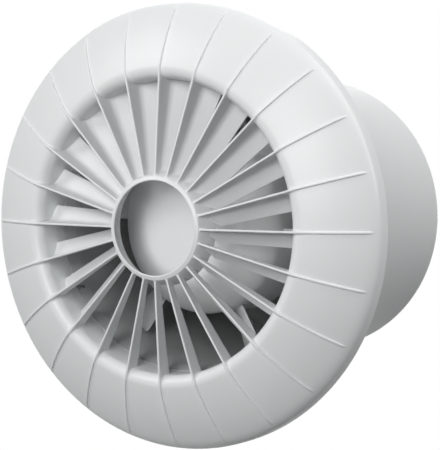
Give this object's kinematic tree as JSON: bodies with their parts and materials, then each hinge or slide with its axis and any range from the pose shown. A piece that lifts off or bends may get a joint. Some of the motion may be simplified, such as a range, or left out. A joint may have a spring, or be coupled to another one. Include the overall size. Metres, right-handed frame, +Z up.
{
  "type": "window exhaust fan",
  "caption": "Round duct exhaust fan with a domed fascia, radial guide vanes, a centre ring, a duct spigot with a back-draught shutter, and an axial impeller on a ball-bearing motor.",
  "frame": {"origin": "on the fan's axis, in the plane of the wall's face that the flange gasket and the fascia's rim stand on", "axes": "+Y along the fan's axis into the wall, towards the duct; +Z up; +X to the right as seen from the room"},
  "size_m": [0.188, 0.1414, 0.188],
  "materials": {
    "fascia_white": "moulded ABS, soft gloss",
    "housing_white": "moulded ABS, satin",
    "impeller_white": "moulded, soft gloss",
    "steel": "bright zinc or ground steel",
    "lamination": "varnished electrical steel",
    "cast_alloy": "die cast",
    "copper_winding": "enamelled copper",
    "former_plastic": "moulded nylon",
    "rubber": "matt",
    "foam": "closed-cell foam",
    "terminal_plastic": "moulded polyamide",
    "lead_sheath": "flexible PVC"
  },
  "bodies": {
    "casing": {"front_grille": "fascia_white", "duct_housing": "housing_white", "wall_gasket": "foam", "front_bearing": "steel", "rear_bearing": "steel", "motor_front_shell": "cast_alloy", "motor_rear_shell": "cast_alloy", "stator_core": "lamination", "coil_former_front": "former_plastic", "coil_former_rear": "former_plastic", "stator_winding": "copper_winding", "motor_tie_screw_1": "steel", "motor_tie_screw_2": "steel", "motor_tie_screw_3": "steel", "mount_bush_1": "rubber", "mount_bush_2": "rubber", "mount_bush_3": "rubber", "mount_screw_1": "steel", "mount_screw_2": "steel", "mount_screw_3": "steel", "terminal_block": "terminal_plastic", "terminal_screw_1": "steel", "terminal_screw_2": "steel", "terminal_cover": "terminal_plastic", "cover_screw": "steel", "cable_clamp": "terminal_plastic", "clamp_screw_1": "steel", "clamp_screw_2": "steel", "cable_grommet": "rubber", "motor_lead": "lead_sheath", "shutter_pin": "steel", "flap_spring_left": "steel", "flap_spring_right": "steel"},
    "rotating": {"impeller": "impeller_white", "boss_spring_ring": "steel", "motor_shaft": "steel", "rotor": "lamination", "front_spacer": "steel", "rear_spacer": "steel"},
    "flap_left": {"shutter_flap_left": "housing_white"},
    "flap_right": {"shutter_flap_right": "housing_white"}
  },
  "joints": [
    {"name": "impeller_spin", "type": "hinge", "parent": "casing", "child": "rotating", "pos_m": [0, 0.02, 0], "axis": [0, 1, 0], "continuous": true},
    {"name": "flap_left_swing", "type": "hinge", "parent": "casing", "child": "flap_left", "pos_m": [0, 0.101, 0], "axis": [0, 0, -1], "range_deg": [0, 85]},
    {"name": "flap_right_swing", "type": "hinge", "parent": "casing", "child": "flap_right", "pos_m": [0, 0.101, 0], "axis": [0, 0, 1], "range_deg": [0, 85]}
  ]
}
